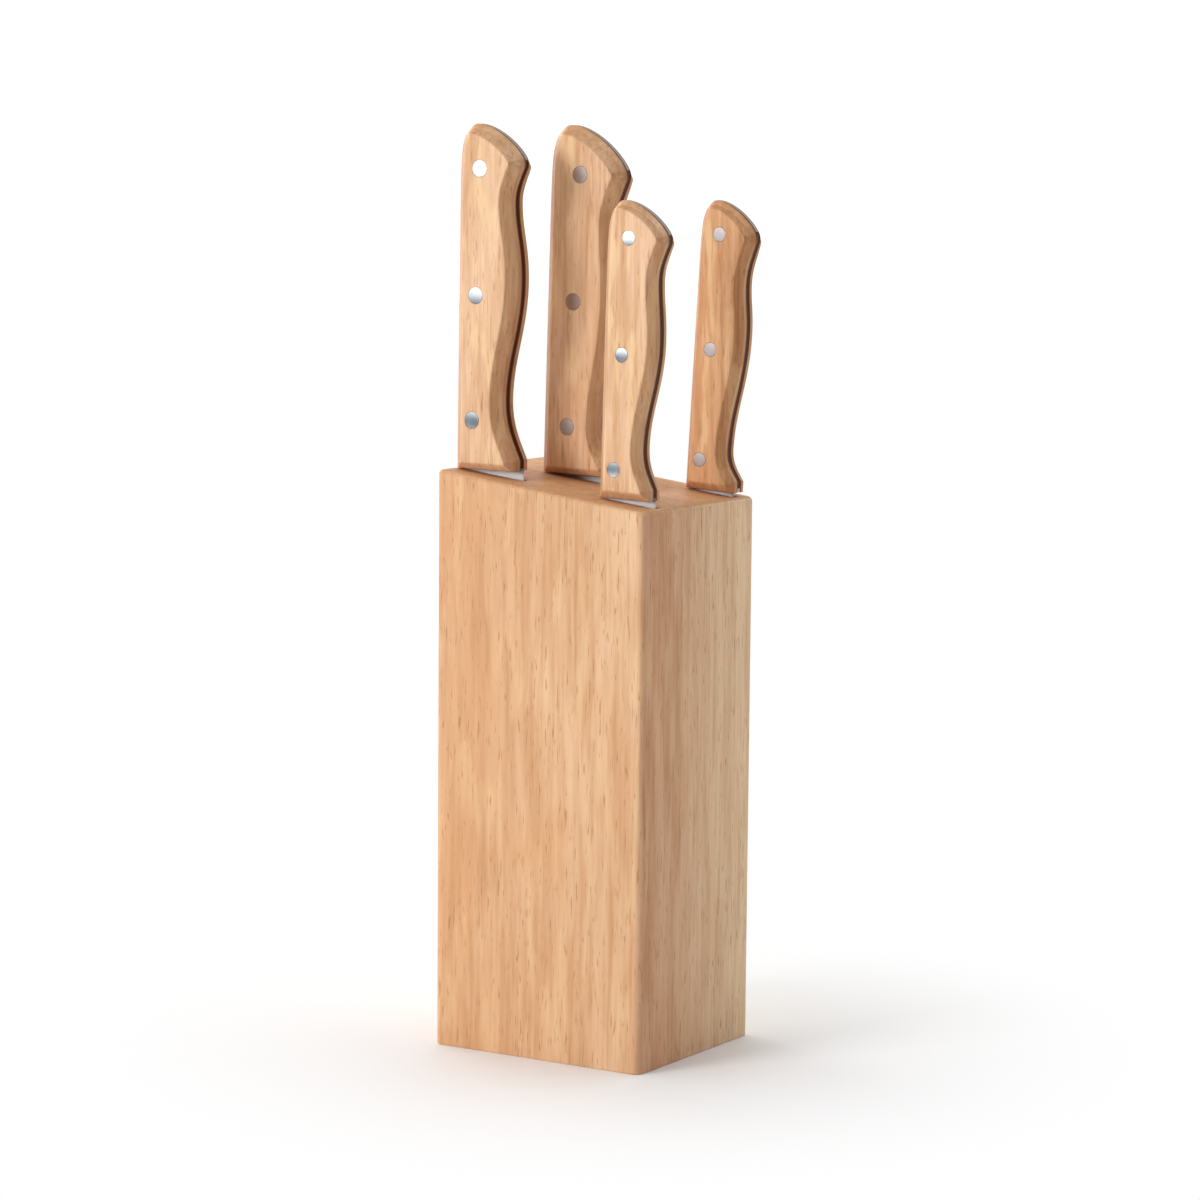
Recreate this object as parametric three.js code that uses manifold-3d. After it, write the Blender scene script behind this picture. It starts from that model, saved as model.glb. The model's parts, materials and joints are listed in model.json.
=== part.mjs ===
// A wooden knife block with four riveted, full-tang kitchen knives.
// Millimetres, +Z up. X runs across the block's wide face, Y through its depth (-Y is the front).
// The origin is the centre of the block's base. The knives' spines face -X and their edges +X.
// The block is glued up from upright boards. Thin strips between the boards leave the blade slots
// open, and a short piece of wood closes each slot below the blade's tip.

import * as THREE from "three";
import { mergeVertices } from "three/addons/utils/BufferGeometryUtils.js";
import Module from "manifold-3d";

const wasm = await Module();
wasm.setup();

// ---------------------------------------------------------------- driving dimensions
const BLOCK = {
  width: 88, // along X
  depth: 77.5, // along Y
  edgeRadius: 3, // of the four upright outer edges
  topFall: THREE.MathUtils.degToRad(7), // the top slopes down towards +X
  floor: 28, // wood left under the deepest slot
};

// Each layer of slots lies between two boards, at this distance from the front or the back face.
const LAYERS = {
  front: { from: "front", distance: 14.2 },
  middle: { from: "front", distance: 42.5 },
  back: { from: "back", distance: 8.5 },
};

const SLOT_FACE_GAP = 0.7; // between a blade's flat side and the slot
const SLOT_END_GAP = 0.6; // between a blade's spine or edge and the slot
const TIP_GAP = 3; // between a blade's tip and the slot's floor
const SEAT_GAP = 0.2; // between a handle's foot and the block's top
const RIVET_HOLE_GAP = 0.05; // radial
const ROOT_OVERLAP = 0.6; // how far a blade runs up into its own tang

const EDGE_THICKNESS = 0.3; // of a blade at its cutting edge
const RIVET_PROUD = 0.3; // height of a rivet's domed end
const ROUND_SEGMENTS = 20; // of rivets and their holes
const CURVE_SEGMENTS = 6; // in each curve of a handle's outline
const BLADE_STATIONS = 14; // along the curved end of a blade

// What the two sizes of handle share. The bevels run round the outer face of each scale.
const LARGE_HANDLE = {
  thickness: 14.2,
  sideBevel: 3.6,
  footBevel: 2.3,
  rivetRadius: 3,
};
const SMALL_HANDLE = {
  thickness: 11.8,
  sideBevel: 2.8,
  footBevel: 2.8,
  rivetRadius: 2.55,
};

// Widths of a handle are measured from its spine, heights from its foot. The outline swings in
// at the waist, out at the swell, in at the neck and out again to the nose of the butt.
// A slot's wall is the wood between it and the face of the block that it is measured from.
// cant is the handle's turn against the blade, and spineStep the step from its spine to the blade's.
const KNIVES = [
  {
    name: "carving_knife",
    layer: "front",
    wallFrom: "left",
    wall: 3,
    cant: 0.5,
    spineStep: 1.6,
    blade: { length: 180, width: 24.8, thickness: 1.8, curve: 70, drop: 0.25 },
    handle: {
      ...LARGE_HANDLE,
      length: 123.6,
      heel: 25.6,
      waist: 19.2,
      swell: 25.3,
      neck: 22.2,
      nose: 26.6,
      waistAt: 25,
      swellAt: 68,
      neckAt: 96,
      noseAt: 109.8,
      rivets: [
        [8.4, 17.6],
        [9.4, 62.4],
        [10.5, 107.6],
      ],
    },
  },
  {
    name: "chef_knife",
    layer: "middle",
    wallFrom: "left",
    wall: 20.7,
    cant: 1.4,
    spineStep: 0.5,
    blade: { length: 172, width: 40, thickness: 1.8, curve: 125, drop: 0.2 },
    handle: {
      ...LARGE_HANDLE,
      length: 125.8,
      heel: 29,
      waist: 23.2,
      swell: 27.8,
      neck: 26.4,
      nose: 31.4,
      waistAt: 18,
      swellAt: 62,
      neckAt: 91,
      noseAt: 108.4,
      rivets: [
        [11.8, 17.2],
        [12.9, 62.5],
        [14.4, 108.2],
      ],
    },
  },
  {
    name: "utility_knife",
    layer: "front",
    wallFrom: "right",
    wall: 3.4,
    cant: 1.5,
    spineStep: 0.5,
    blade: { length: 127, width: 20.8, thickness: 1.8, curve: 60, drop: 0.25 },
    handle: {
      ...SMALL_HANDLE,
      length: 105,
      heel: 20.8,
      waist: 16.2,
      swell: 21.6,
      neck: 20.3,
      nose: 24.6,
      waistAt: 18,
      swellAt: 56,
      neckAt: 77.5,
      noseAt: 92,
      rivets: [
        [6.9, 10.4],
        [8.8, 51],
        [10.2, 92],
      ],
    },
  },
  {
    name: "paring_knife",
    layer: "back",
    wallFrom: "right",
    wall: 3.5,
    cant: 3.2,
    spineStep: 0.5,
    blade: { length: 90, width: 18, thickness: 1.8, curve: 60, drop: 0.3 },
    handle: {
      ...SMALL_HANDLE,
      length: 105,
      heel: 20.5,
      waist: 15.5,
      swell: 20.4,
      neck: 19,
      nose: 22.8,
      waistAt: 15,
      swellAt: 57,
      neckAt: 76,
      noseAt: 92.5,
      rivets: [
        [6.5, 11],
        [8.3, 51.3],
        [9.3, 93],
      ],
    },
  },
];

// ---------------------------------------------------------------- materials
const BLOCK_WOOD = { color: 0xdcb78f, roughness: 0.6, metalness: 0 };
const HANDLE_WOOD = { color: 0xe6bb8a, roughness: 0.55, metalness: 0 };
const STEEL = { color: 0xc4c8cc, roughness: 0.3, metalness: 1 };
const RIVET_METAL = { color: 0xc9cdd2, roughness: 0.35, metalness: 1 };

// ---------------------------------------------------------------- solids
// A closed geometry as a solid that can be joined to others and cut.
function solidOf(geometry) {
  const bare = geometry.clone();
  bare.deleteAttribute("normal");
  bare.deleteAttribute("uv");
  const merged = mergeVertices(bare, 1e-4);
  return new wasm.Manifold(
    new wasm.Mesh({
      numProp: 3,
      vertProperties: merged.attributes.position.array,
      triVerts: new Uint32Array(merged.index.array),
    }),
  );
}

function geometryOf(solid) {
  const mesh = solid.getMesh();
  const geometry = new THREE.BufferGeometry();
  geometry.setAttribute("position", new THREE.BufferAttribute(mesh.vertProperties, 3));
  geometry.setIndex(new THREE.BufferAttribute(mesh.triVerts, 1));
  geometry.computeVertexNormals();
  return geometry;
}

function named(name, geometry, finish) {
  const mesh = new THREE.Mesh(geometry, new THREE.MeshStandardMaterial(finish));
  mesh.name = name;
  return mesh;
}

// A box between two corners.
function boxBetween(low, high) {
  const size = new THREE.Vector3().subVectors(high, low);
  const middle = new THREE.Vector3().addVectors(low, high).multiplyScalar(0.5);
  return new THREE.BoxGeometry(size.x, size.y, size.z).translate(middle.x, middle.y, middle.z);
}

// A geometry extruded along +Z is stood up, so that its outline lies in the XZ plane and its
// thickness is centred on Y = 0.
function standUp(geometry, thickness) {
  return geometry.translate(0, 0, -thickness / 2).rotateX(Math.PI / 2);
}

// A closed solid through a row of convex rings of equal length, the first at the bottom. Seen
// from above, each ring runs anticlockwise.
function loft(rings) {
  const count = rings[0].length;
  const positions = rings.flat().flatMap((point) => point.toArray());
  const index = [];
  for (let ring = 0; ring + 1 < rings.length; ring += 1) {
    for (let i = 0; i < count; i += 1) {
      const a = ring * count + i;
      const b = ring * count + ((i + 1) % count);
      index.push(a, b, b + count, a, b + count, a + count);
    }
  }
  const top = (rings.length - 1) * count;
  for (let i = 1; i + 1 < count; i += 1) {
    index.push(0, i + 1, i);
    index.push(top, top + i, top + i + 1);
  }
  const geometry = new THREE.BufferGeometry();
  geometry.setAttribute("position", new THREE.Float32BufferAttribute(positions, 3));
  geometry.setIndex(index);
  return geometry;
}

// ---------------------------------------------------------------- places
const left = -BLOCK.width / 2;
const right = BLOCK.width / 2;
const front = -BLOCK.depth / 2;
const back = BLOCK.depth / 2;

function layerCentre(layer) {
  return layer.from === "front" ? front + layer.distance : back - layer.distance;
}

// Where a knife's slot, blade and handle lie across the block.
function placeAcross(knife) {
  const slotWidth = knife.blade.width + 2 * SLOT_END_GAP;
  const slotLeft = knife.wallFrom === "left" ? left + knife.wall : right - knife.wall - slotWidth;
  const bladeSpine = slotLeft + SLOT_END_GAP;
  return {
    slotLeft,
    slotRight: slotLeft + slotWidth,
    handleSpine: bladeSpine - knife.spineStep,
  };
}

// The knife with the longest blade sets the height of the block.
const longest = KNIVES.reduce((a, b) => (a.blade.length > b.blade.length ? a : b));
const seatHeight = BLOCK.floor + TIP_GAP + longest.blade.length - SEAT_GAP;
const slope = Math.tan(BLOCK.topFall);

// The height of the block's slanting top at a place across the block.
function topAt(x) {
  return seatHeight - slope * (x - placeAcross(longest).handleSpine);
}

// ---------------------------------------------------------------- block
// An upright piece of the block with a rectangular plan, cut by the slanting top unless it has
// a height of its own. rounded names the face whose two upright edges are outer edges.
function upright({ x0, x1, y0, y1, height = null, rounded = null }) {
  const r = BLOCK.edgeRadius;
  const rFront = rounded === "front" ? r : 0;
  const rBack = rounded === "back" ? r : 0;
  const plan = new THREE.Shape();
  plan.moveTo(x0 + rFront, y0);
  plan.lineTo(x1 - rFront, y0);
  if (rFront) plan.absarc(x1 - r, y0 + r, r, -Math.PI / 2, 0, false);
  plan.lineTo(x1, y1 - rBack);
  if (rBack) plan.absarc(x1 - r, y1 - r, r, 0, Math.PI / 2, false);
  plan.lineTo(x0 + rBack, y1);
  if (rBack) plan.absarc(x0 + r, y1 - r, r, Math.PI / 2, Math.PI, false);
  plan.lineTo(x0, y0 + rFront);
  if (rFront) plan.absarc(x0 + r, y0 + r, r, Math.PI, 1.5 * Math.PI, false);
  const geometry = new THREE.ExtrudeGeometry(plan, {
    depth: 1,
    bevelEnabled: false,
    curveSegments: 5,
  });
  const position = geometry.attributes.position;
  for (let i = 0; i < position.count; i += 1) {
    if (position.getZ(i) > 0) position.setZ(i, height ?? topAt(position.getX(i)));
  }
  geometry.computeVertexNormals();
  return geometry;
}

// The strips on both sides of each slot of a layer, and the piece that closes each slot below.
function layerPieces(layerName) {
  const knives = KNIVES.filter((knife) => knife.layer === layerName);
  knives.sort((a, b) => placeAcross(a).slotLeft - placeAcross(b).slotLeft);
  const { y0, y1 } = layerSpan(layerName);
  const pieces = [];
  let x0 = left;
  knives.forEach((knife, i) => {
    const { slotLeft, slotRight, handleSpine } = placeAcross(knife);
    const tip = topAt(handleSpine) + SEAT_GAP - knife.blade.length;
    pieces.push(
      named(`${layerName}_strip_${i + 1}`, upright({ x0, x1: slotLeft, y0, y1 }), BLOCK_WOOD),
      named(
        `${knife.name}_slot_floor`,
        upright({ x0: slotLeft, x1: slotRight, y0, y1, height: tip - TIP_GAP }),
        BLOCK_WOOD,
      ),
    );
    x0 = slotRight;
  });
  const last = `${layerName}_strip_${knives.length + 1}`;
  pieces.push(named(last, upright({ x0, x1: right, y0, y1 }), BLOCK_WOOD));
  return pieces;
}

// The front and back planes of a layer: its thickest blade with a gap on each side.
function layerSpan(layerName) {
  const knives = KNIVES.filter((knife) => knife.layer === layerName);
  const half = Math.max(...knives.map((knife) => knife.blade.thickness)) / 2 + SLOT_FACE_GAP;
  const centre = layerCentre(LAYERS[layerName]);
  return { y0: centre - half, y1: centre + half };
}

function makeBlock() {
  const group = new THREE.Group();
  const spans = Object.keys(LAYERS).map(layerSpan);
  const faces = [front, ...spans.flatMap(({ y0, y1 }) => [y0, y1]), back];
  const boards = ["front_board", "second_board", "third_board", "back_board"];
  const outer = { front_board: "front", back_board: "back" };
  boards.forEach((name, i) => {
    const plan = { x0: left, x1: right, y0: faces[2 * i], y1: faces[2 * i + 1] };
    group.add(named(name, upright({ ...plan, rounded: outer[name] ?? null }), BLOCK_WOOD));
  });
  Object.keys(LAYERS).forEach((layerName) => group.add(...layerPieces(layerName)));
  return group;
}

// ---------------------------------------------------------------- handles
// A handle's outline in its own plane: x from the spine, y up from the foot, which is moved
// down by drop. The belly's curves run straight up at the waist, the swell and the neck, and the
// butt slopes from a round at the spine to the nose, which is a corner.
function handleOutline(handle, drop) {
  const { length, heel, waist, swell, neck, nose, sideBevel, footBevel } = handle;
  const { waistAt, swellAt, neckAt, noseAt } = handle;
  const heelAt = 0.4 * sideBevel + footBevel;
  const apex = 0.22 * nose;
  const { lerp } = THREE.MathUtils;
  const outline = new THREE.Shape();
  outline.moveTo(0, -drop);
  outline.lineTo(heel, -drop);
  outline.lineTo(heel, heelAt);
  const heelCurve = [lerp(heel, waist, 0.45), lerp(heelAt, waistAt, 0.3)];
  outline.bezierCurveTo(...heelCurve, waist, lerp(heelAt, waistAt, 0.55), waist, waistAt);
  const rise = [lerp(waistAt, swellAt, 0.35), lerp(waistAt, swellAt, 0.6)];
  outline.bezierCurveTo(waist, rise[0], swell, rise[1], swell, swellAt);
  const fall = [lerp(swellAt, neckAt, 0.45), lerp(swellAt, neckAt, 0.65)];
  outline.bezierCurveTo(swell, fall[0], neck, fall[1], neck, neckAt);
  const hook = [lerp(nose, neck, 0.42), lerp(noseAt, neckAt, 0.35)];
  outline.bezierCurveTo(neck, lerp(neckAt, noseAt, 0.4), ...hook, nose, noseAt);
  const butt = [lerp(nose, apex, 0.1), lerp(noseAt, length, 0.42)];
  outline.bezierCurveTo(...butt, lerp(apex, nose, 0.36), length, apex, length);
  outline.bezierCurveTo(0.15 * apex, length, 0, 0.94 * length, 0, 0.78 * length);
  outline.closePath();
  return outline;
}

// The two wooden scales: one bevelled handle body, split where the tang runs through it, with a
// flat foot and the rivet holes.
function scaleGeometries(handle, tangThickness, rivetHoles) {
  const { thickness, sideBevel, footBevel, length, nose } = handle;
  const trim = sideBevel - footBevel;
  const body = standUp(
    new THREE.ExtrudeGeometry(handleOutline(handle, trim), {
      depth: thickness - 2 * sideBevel,
      curveSegments: CURVE_SEGMENTS,
      bevelThickness: sideBevel,
      bevelSize: sideBevel,
      bevelOffset: -sideBevel,
      bevelSegments: 1,
    }),
    thickness - 2 * sideBevel,
  );
  const drilled = solidOf(body).subtract(rivetHoles);
  const scale = (near, far) => {
    const low = new THREE.Vector3(-nose, Math.min(near, far), 0);
    const high = new THREE.Vector3(2 * nose, Math.max(near, far), 2 * length);
    return geometryOf(drilled.intersect(solidOf(boxBetween(low, high))));
  };
  return {
    front: scale(-tangThickness / 2, -thickness),
    back: scale(tangThickness / 2, thickness),
  };
}

// A cylinder along Y, centred on the tang, at each rivet of a handle.
function rivetHoleSolid(handle) {
  const radius = handle.rivetRadius + RIVET_HOLE_GAP;
  const holes = handle.rivets.map(([x, z]) =>
    solidOf(
      new THREE.CylinderGeometry(radius, radius, 2 * handle.thickness, ROUND_SEGMENTS).translate(
        x,
        0,
        z,
      ),
    ),
  );
  return holes.reduce((all, hole) => all.add(hole));
}

// A rivet along Y with a low dome at each end.
function rivetGeometry(handle) {
  const radius = handle.rivetRadius;
  const half = handle.thickness / 2;
  const dome = [0, 0.35, 0.65, 0.85, 1].map(
    (share) => new THREE.Vector2(radius * share, half + RIVET_PROUD * (1 - share * share)),
  );
  const bottom = dome.map((p) => new THREE.Vector2(p.x, -p.y));
  return new THREE.LatheGeometry([...bottom, ...dome.reverse()], ROUND_SEGMENTS);
}

// ---------------------------------------------------------------- blades
// One section of a blade, at a distance above its tip. The blade's flats run to a shoulder and
// are ground from there to the edge.
function bladeRing(blade, fromTip, z) {
  const { width, thickness, curve, drop } = blade;
  const t = Math.min(fromTip / curve, 1);
  const tipX = width * drop;
  const spineX = tipX * (1 - t) ** 2;
  const edgeX = tipX + (width - tipX) * Math.sqrt(1 - (1 - t) ** 2);
  const half = (thickness / 2) * (0.45 + 0.55 * t);
  const shoulder = THREE.MathUtils.lerp(spineX, edgeX, 0.55);
  const edge = EDGE_THICKNESS / 2;
  return [
    new THREE.Vector3(spineX, -half, z),
    new THREE.Vector3(shoulder, -half, z),
    new THREE.Vector3(edgeX, -edge, z),
    new THREE.Vector3(edgeX, edge, z),
    new THREE.Vector3(shoulder, half, z),
    new THREE.Vector3(spineX, half, z),
  ];
}

// The blade below the handle's foot: x from its own spine, z down from the foot.
function bladeGeometry(blade) {
  const { length, curve } = blade;
  const rings = [];
  for (let i = 0; i <= BLADE_STATIONS; i += 1) {
    const fromTip = Math.max(curve * (i / BLADE_STATIONS) ** 2, 0.15);
    rings.push(bladeRing(blade, fromTip, fromTip - length));
  }
  rings.push(bladeRing(blade, length, ROOT_OVERLAP));
  return loft(rings);
}

// Blade and tang in one piece of steel. The tang fills the handle's outline and is drilled for
// the rivets.
function steelGeometry(knife, rivetHoles) {
  const { blade, handle } = knife;
  const tang = standUp(
    new THREE.ExtrudeGeometry(handleOutline(handle, 0), {
      depth: blade.thickness,
      curveSegments: CURVE_SEGMENTS,
      bevelEnabled: false,
    }),
    blade.thickness,
  );
  const canted = geometryOf(solidOf(tang).subtract(rivetHoles)).rotateY(cantOf(knife));
  const below = bladeGeometry(blade).translate(knife.spineStep, 0, 0);
  return geometryOf(solidOf(canted).add(solidOf(below)));
}

function cantOf(knife) {
  return THREE.MathUtils.degToRad(knife.cant);
}

// ---------------------------------------------------------------- knives
// A knife's own frame has its origin at the foot of the handle's spine, on the tang's middle.
function makeKnife(knife) {
  const group = new THREE.Group();
  const spine = placeAcross(knife).handleSpine;
  group.position.set(spine, layerCentre(LAYERS[knife.layer]), topAt(spine) + SEAT_GAP);
  const cant = cantOf(knife);
  const holes = rivetHoleSolid(knife.handle);
  const scales = scaleGeometries(knife.handle, knife.blade.thickness, holes);
  group.add(
    named(`${knife.name}_blade`, steelGeometry(knife, holes), STEEL),
    named(`${knife.name}_front_scale`, scales.front.rotateY(cant), HANDLE_WOOD),
    named(`${knife.name}_back_scale`, scales.back.rotateY(cant), HANDLE_WOOD),
  );
  knife.handle.rivets.forEach(([x, z], i) => {
    const rivet = rivetGeometry(knife.handle).translate(x, 0, z).rotateY(cant);
    group.add(named(`${knife.name}_rivet_${i + 1}`, rivet, RIVET_METAL));
  });
  return group;
}

const knifeBlock = new THREE.Group();
knifeBlock.add(makeBlock());
KNIVES.forEach((knife) => knifeBlock.add(makeKnife(knife)));

export default knifeBlock;
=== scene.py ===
"""A wooden knife block with riveted, full-tang kitchen knives, dressed round its CAD frame.

Metres, +Z up. The wide face of the block looks along -Y, the knives' edges point to +X.
"""

import json
import logging
import math
from dataclasses import dataclass, field, replace
from enum import Enum
from functools import cache
from typing import Any, Sequence

import bmesh
import bpy
import numpy as np
from mathutils import Euler, Matrix, Vector


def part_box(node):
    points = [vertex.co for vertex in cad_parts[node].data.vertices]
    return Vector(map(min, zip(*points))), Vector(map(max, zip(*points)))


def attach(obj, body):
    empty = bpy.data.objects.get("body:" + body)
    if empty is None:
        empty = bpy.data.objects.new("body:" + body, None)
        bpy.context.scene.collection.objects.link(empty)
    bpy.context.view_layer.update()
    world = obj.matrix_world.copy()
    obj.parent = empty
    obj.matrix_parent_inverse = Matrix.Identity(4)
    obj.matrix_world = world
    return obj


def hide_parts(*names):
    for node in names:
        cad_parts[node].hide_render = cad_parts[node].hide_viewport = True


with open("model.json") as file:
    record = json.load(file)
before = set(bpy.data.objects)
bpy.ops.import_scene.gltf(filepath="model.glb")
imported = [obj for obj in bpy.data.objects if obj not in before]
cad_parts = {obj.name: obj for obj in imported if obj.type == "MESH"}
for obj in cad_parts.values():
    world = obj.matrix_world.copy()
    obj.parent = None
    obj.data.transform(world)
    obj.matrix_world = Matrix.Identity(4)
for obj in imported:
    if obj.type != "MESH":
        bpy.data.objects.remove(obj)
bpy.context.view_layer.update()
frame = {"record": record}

LOG = logging.getLogger("knife_block")
MM = 0.001
Point2 = tuple[float, float]
Colour = tuple[float, float, float]


# ------------------------------------------------------------------------------ node maths
class Wire:
    """A number, colour or vector on its way through the nodes of a tree."""

    def __init__(self, kit: "NodeKit", socket: Any) -> None:
        self.kit = kit
        self.socket = socket

    def _math(self, operation: str, *values: Any) -> "Wire":
        """Joins values by a Math node."""
        inputs = dict(enumerate(values))
        return self.kit.add("ShaderNodeMath", {"operation": operation}, inputs)

    def __add__(self, other: Any) -> "Wire":
        """Sum."""
        return self._math("ADD", self, other)

    __radd__ = __add__

    def __mul__(self, other: Any) -> "Wire":
        """Product."""
        return self._math("MULTIPLY", self, other)

    __rmul__ = __mul__

    def __sub__(self, other: Any) -> "Wire":
        """Difference."""
        return self._math("SUBTRACT", self, other)

    def __rsub__(self, other: Any) -> "Wire":
        """Difference, the other way round."""
        return self._math("SUBTRACT", other, self)

    def __truediv__(self, other: Any) -> "Wire":
        """Quotient."""
        return self._math("DIVIDE", self, other)

    def sign(self) -> "Wire":
        """The number's sign: -1, 0 or 1."""
        return self._math("SIGN", self)

    def clamp(self) -> "Wire":
        """The number kept between 0 and 1."""
        return self.kit.add("ShaderNodeClamp", {}, {"Value": self}, "Result")

    def between(self, low: float, high: float) -> "Wire":
        """A smooth step.

        Args:
            low: the number that gives 0.
            high: the number that gives 1. It may be the smaller one.

        Returns:
            A mask from 0 to 1.
        """
        settings = {"interpolation_type": "SMOOTHSTEP"}
        span = {"Value": self, "From Min": low, "From Max": high}
        if low > high:
            span |= {"From Min": high, "From Max": low, "To Min": 1.0, "To Max": 0.0}
        return self.kit.add("ShaderNodeMapRange", settings, span, "Result")


class NodeKit:
    """Adds nodes to one tree and links them."""

    def __init__(self, tree: bpy.types.NodeTree) -> None:
        """Empties the tree."""
        self.tree = tree
        self.tree.nodes.clear()

    @classmethod
    def of(cls, owner: bpy.types.Material | bpy.types.World) -> "NodeKit":
        """A kit for the tree of a material or a world."""
        owner.use_nodes = True
        return cls(owner.node_tree)

    def add(
        self,
        kind: str,
        settings: dict[str, Any] | None = None,
        inputs: dict[Any, Any] | None = None,
        output: int | str = 0,
    ) -> Wire:
        """Adds one node.

        Args:
            kind: the node's type.
            settings: the node's own properties, set first.
            inputs: a value or a Wire for each socket, by name or number.
            output: which output to hand on.

        Returns:
            The node's output.
        """
        node = self.tree.nodes.new(kind)
        for name, value in (settings or {}).items():
            if name == "stops":
                self._set_stops(node, value)
            else:
                setattr(node, name, value)
        for name, value in (inputs or {}).items():
            socket = node.inputs[name]
            if isinstance(value, Wire):
                self.tree.links.new(value.socket, socket)
            else:
                socket.default_value = value
        return Wire(self, node.outputs[output]) if node.outputs else Wire(self, None)

    @staticmethod
    def _set_stops(node: Any, stops: Sequence[tuple[float, Colour]]) -> None:
        """Gives a colour ramp its stops.

        Args:
            node: the ramp.
            stops: the place and the colour of each stop.
        """
        elements = node.color_ramp.elements
        while len(elements) < len(stops):
            elements.new(1.0)
        for element, (place, colour) in zip(elements, stops):
            element.position = place
            element.color = (*colour, 1.0)

    def mix(self, share: Any, first: Any, second: Any, blend: str = "MIX") -> Wire:
        """Mixes two colours.

        Args:
            share: how much of the second colour shows.
            first: a colour or a Wire.
            second: a colour or a Wire.
            blend: the way of mixing.

        Returns:
            The mixed colour.
        """
        settings = {"data_type": "RGBA", "blend_type": blend, "clamp_result": True}
        a, b = [c if isinstance(c, Wire) else (*c, 1.0) for c in (first, second)]
        return self.add("ShaderNodeMix", settings, {0: share, 6: a, 7: b}, 2)

    def grey(self, value: Wire) -> Wire:
        """A number as a grey colour."""
        return self.add("ShaderNodeCombineColor", {}, {0: value, 1: value, 2: value})

    def place(self, stretch: Sequence[float], offset: Sequence[float] = (0, 0, 0)) -> Wire:
        """Object coordinates, stretched and moved.

        Args:
            stretch: how many pattern lengths go in a metre along each axis.
            offset: where the pattern starts.

        Returns:
            A vector for a pattern to read.
        """
        own = self.add("ShaderNodeTexCoord", {}, {}, "Object")
        values = {"Vector": own, "Scale": tuple(stretch), "Location": tuple(offset)}
        return self.add("ShaderNodeMapping", {}, values)

    def axis(self, name: str) -> Wire:
        """One of the object's own coordinates, in metres."""
        own = self.add("ShaderNodeTexCoord", {}, {}, "Object")
        return self.add("ShaderNodeSeparateXYZ", {}, {0: own}, name)

    def facing(self, name: str) -> Wire:
        """How far the surface faces along an axis of the object, from -1 to 1."""
        normal = self.add("ShaderNodeTexCoord", {}, {}, "Normal")
        return self.add("ShaderNodeSeparateXYZ", {}, {0: normal}, name)

    def noise(self, where: Wire, detail: float = 2.0, waves: float = 0.0) -> Wire:
        """Cloudy noise from 0 to 1, one pattern length to a unit, bent into waves if asked."""
        values = {"Vector": where, "Scale": 1.0, "Detail": detail, "Distortion": waves}
        return self.add("ShaderNodeTexNoise", {}, values, 0)

    def bump(self, height: Wire, distance: float, strength: float = 1.0) -> Wire:
        """A Bump node's normal."""
        values = {"Height": height, "Distance": distance, "Strength": strength}
        return self.add("ShaderNodeBump", {}, values)

    def surface(self, values: dict[str, Any]) -> None:
        """Ends the tree in a Principled shader with these socket values."""
        shader = self.add("ShaderNodeBsdfPrincipled", {}, values)
        self.add("ShaderNodeOutputMaterial", {}, {"Surface": shader})


def linear(red: int, green: int, blue: int) -> Colour:
    """An 8-bit display colour as the linear colour that shaders use."""

    def channel(value: int) -> float:
        """One channel of the display curve, undone."""
        share = value / 255
        return share / 12.92 if share <= 0.04045 else ((share + 0.055) / 1.055) ** 2.4

    return channel(red), channel(green), channel(blue)


# ------------------------------------------------------------------------------ finishes
HAIR_WIDTH = 0.35 * MM
PORE_WIDTH = 0.75 * MM
VEIN_WIDTH = 1.3 * MM
GAP_SHADE_FULL = 1.0 * MM  # the painted shadow line along the tang is full up to here from the tang's middle
GAP_SHADE_END = 1.7 * MM  # and ends here


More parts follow.
